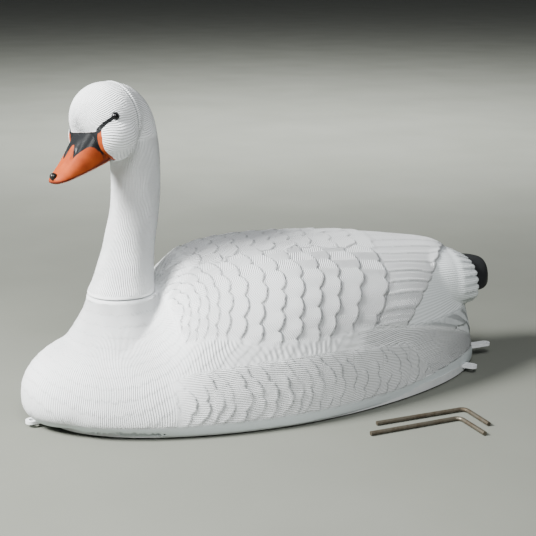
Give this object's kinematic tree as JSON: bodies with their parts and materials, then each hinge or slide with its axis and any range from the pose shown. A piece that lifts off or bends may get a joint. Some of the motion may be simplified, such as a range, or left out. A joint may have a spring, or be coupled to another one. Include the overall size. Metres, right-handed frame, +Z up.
{
  "type": "swan decoy",
  "caption": "Full-size floating swan decoy: hollow two-piece body, plug-in turning neck and head, lugs round the hull, and loose L-shaped steel ground pegs.",
  "frame": {"origin": "on the floor plane at the middle of the hull's flat bottom", "axes": "+Z up, -Y is the way the swan's body faces, +X is the swan's left"},
  "size_m": [0.509, 0.8746, 0.5386],
  "materials": {
    "white_plastic": "matt moulded white",
    "pan_plastic": "plain moulded grey",
    "black_plastic": "matt painted black",
    "black_gloss": "gloss painted black",
    "orange_plastic": "satin painted orange",
    "rubber": "plain moulded",
    "peg_steel": "dull brown-grey drawn rod"
  },
  "bodies": {
    "body": {"body_shell": "white_plastic", "hull_pan": "pan_plastic", "neck_socket": "pan_plastic", "tail_fan": "black_plastic", "drain_plug": "rubber", "lug_front": "white_plastic", "lug_tail": "white_plastic", "lug_left": "white_plastic", "lug_right": "white_plastic"},
    "seal": {"neck_o_ring": "rubber"},
    "neck": {"neck_shell": "white_plastic", "neck_spigot": "pan_plastic", "head_joint_ring": "pan_plastic", "head_shell": "white_plastic", "bill_mask": "black_gloss", "bill_upper": "orange_plastic", "bill_lower": "orange_plastic", "bill_nail": "black_gloss", "eye_left": "black_gloss", "eye_right": "black_gloss"},
    "peg_near": {"ground_peg_near": "peg_steel"},
    "peg_far": {"ground_peg_far": "peg_steel"}
  },
  "joints": [
    {"name": "neck_lift", "type": "slide", "parent": "body", "child": "seal", "axis": [0, 0, 1], "range_m": [0, 0.12]},
    {"name": "neck_turn", "type": "hinge", "parent": "seal", "child": "neck", "pos_m": [0, -0.273, 0.18], "axis": [0, 0, 1], "continuous": true},
    {"name": "peg_near_lift", "type": "slide", "parent": "body", "child": "peg_near", "axis": [0, 0, 1], "range_m": [0, 0.3]},
    {"name": "peg_far_lift", "type": "slide", "parent": "body", "child": "peg_far", "axis": [0, 0, 1], "range_m": [0, 0.3]}
  ]
}
